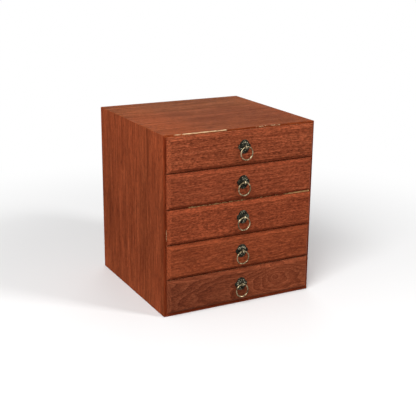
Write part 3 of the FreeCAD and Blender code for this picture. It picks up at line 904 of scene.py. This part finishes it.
def make_plate(node, eye_height):
    """The plate of one pull, with its field sunk inside a rim and the rosette on it."""
    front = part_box(node)[0].y + BOSS_HEIGHT
    plate = take_copy(node, "plate_pattern")
    for polygon in plate.data.polygons:
        at_front = abs(polygon.center.y - front) < FRONT_WITHIN
        polygon.select = polygon.normal.y < FRONT_FACING and at_front
    bpy.ops.object.mode_set(mode="EDIT")
    bpy.ops.mesh.select_mode(type="FACE")
    bpy.ops.mesh.inset(thickness=RIM_WIDTH, depth=-FIELD_DEPTH)
    bpy.ops.object.mode_set(mode="OBJECT")
    ease_edges(plate, BRASS_EASED)
    eye = Vector((0, front + FIELD_DEPTH, eye_height))
    beads = [add_bead(eye, 360 * number / PETALS, PETAL_RING, PETAL_SIZE) for number in range(PETALS)]
    beads += [add_bead(eye, 360 * number / PEARLS, PEARL_RING, PEARL_SIZE) for number in range(PEARLS)]
    beads += [add_bead(eye, angle, DOT_RING, DOT_SIZE) for angle in DOT_ANGLES]
    bpy.ops.object.select_all(action="DESELECT")
    for bead in beads:
        bead.select_set(True)
    plate.select_set(True)
    bpy.context.view_layer.objects.active = plate
    bpy.ops.object.join()
    bpy.ops.object.shade_smooth_by_angle(angle=SMOOTH_BELOW)
    wear = plate.data.attributes.new("wear", "FLOAT", "POINT")
    for vertex in plate.data.vertices:
        above_field = eye.y - vertex.co.y
        if math.hypot(vertex.co.x, vertex.co.z - eye.z) < BOSS_RADIUS:
            rubbed = BOSS_WEAR
        elif above_field > FIELD_DEPTH * ABOVE_RIM:
            rubbed = RELIEF_WEAR
        else:
            rubbed = RIM_WEAR * max(above_field, 0) / FIELD_DEPTH
        wear.data[vertex.index].value = rubbed
    return plate


def copy_piece(pattern, name, move):
    """A copy of a pattern piece with its own mesh, moved to its place."""
    piece = bpy.data.objects.new(name, pattern.data.copy())
    piece.data.name = name
    piece.data.transform(Matrix.Translation(move))
    scene.collection.objects.link(piece)
    return piece


PATTERN_ROW = 2
plate_low, plate_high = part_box(f"pull_{PATTERN_ROW}_plate")
plate_pattern = make_plate(f"pull_{PATTERN_ROW}_plate", (plate_low.z + plate_high.z) / 2)
for row in DRAWERS:
    node = f"pull_{row}_plate"
    plate = copy_piece(plate_pattern, f"pull_{row}_cast_plate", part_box(node)[0] - plate_low)
    finish_piece(plate, node, f"drawer_{row}", plate_brass)
bpy.data.objects.remove(plate_pattern)


# Split pins: a strip of brass folded round the ring into an eye, with its two legs pushed through the
# plate and the drawer and turned apart inside.

RUB_CELLS = (260, 260, 260)
PIN_WEAR = 0.05


def even_wear(level):
    """Wear with no regard to the form, by soft patches; level adds to it all over."""
    def wear_by(tree):
        spot = add_node(tree, "ShaderNodeTexCoord").outputs["Object"]
        rubs = stretched_noise(tree, spot, RUB_CELLS, 2)["Fac"]
        return compute(tree, "ADD", rubs, level)
    return wear_by


pin_brass = new_brass(
    "dark_strip_brass",
    hollow=(0.050, 0.039, 0.022, 1), patina=(0.14, 0.105, 0.060, 1), metal=(0.46, 0.38, 0.24, 1),
    wear_by=even_wear(PIN_WEAR), blotch_cells=600, roughness=0.30,
)
for row in DRAWERS:
    node = f"pull_{row}_pin"
    pin = take_copy(node, f"pull_{row}_folded_pin")
    ease_edges(pin, BRASS_EASED)
    bpy.ops.object.shade_smooth_by_angle(angle=SMOOTH_BELOW)
    finish_piece(pin, node, f"drawer_{row}", pin_brass)


# Rings: round brass wire bent into a ring, its ends brazed together at the bottom, hanging in the eye of
# the split pin. Fingers have kept them brighter than the plates. The top one hangs a little to the right.

WIRE_RADIUS = 0.00090
RING_STEPS, WIRE_STEPS = 120, 20
BRAZE_WIDTH, BRAZE_PINCH = 0.0005, 0.86
RING_WEAR = 0.0
ring_low, ring_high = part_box(f"pull_{PATTERN_ROW}_ring")
RING_RADIUS = (ring_high.x - ring_low.x) / 2 - WIRE_RADIUS

ring_brass = new_brass(
    "rubbed_wire_brass",
    hollow=(0.050, 0.036, 0.018, 1), patina=(0.150, 0.106, 0.054, 1), metal=(0.56, 0.45, 0.27, 1),
    wear_by=even_wear(RING_WEAR), blotch_cells=300, roughness=0.22, patchy=1.0,
)


def make_ring():
    """A ring about the origin, in the XZ plane, pinched a little where its ends are brazed."""
    bpy.ops.object.select_all(action="DESELECT")
    bpy.ops.mesh.primitive_torus_add(
        major_radius=RING_RADIUS, minor_radius=WIRE_RADIUS,
        major_segments=RING_STEPS, minor_segments=WIRE_STEPS, rotation=(math.pi / 2, 0, 0),
    )
    ring = bpy.context.object
    ring.name = "ring_pattern"
    bpy.ops.object.transform_apply(location=True, rotation=True, scale=True)
    bpy.ops.object.mode_set(mode="EDIT")
    bpy.ops.mesh.select_all(action="DESELECT")
    bpy.ops.object.mode_set(mode="OBJECT")
    for vertex in ring.data.vertices:
        vertex.select = vertex.co.z < 0 and abs(vertex.co.x) < BRAZE_WIDTH / 2
    bpy.ops.object.mode_set(mode="EDIT")
    bpy.ops.transform.resize(value=(1, BRAZE_PINCH, 1), center_override=(0, 0, -RING_RADIUS))
    bpy.ops.object.mode_set(mode="OBJECT")
    bpy.ops.object.shade_smooth()
    return ring


ring_pattern = make_ring()
for row in DRAWERS:
    node = f"pull_{row}_ring"
    low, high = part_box(node)
    ring = copy_piece(ring_pattern, f"pull_{row}_wire_ring", (low + high) / 2)
    finish_piece(ring, node, f"ring_{row}", ring_brass)
bpy.data.objects.remove(ring_pattern)
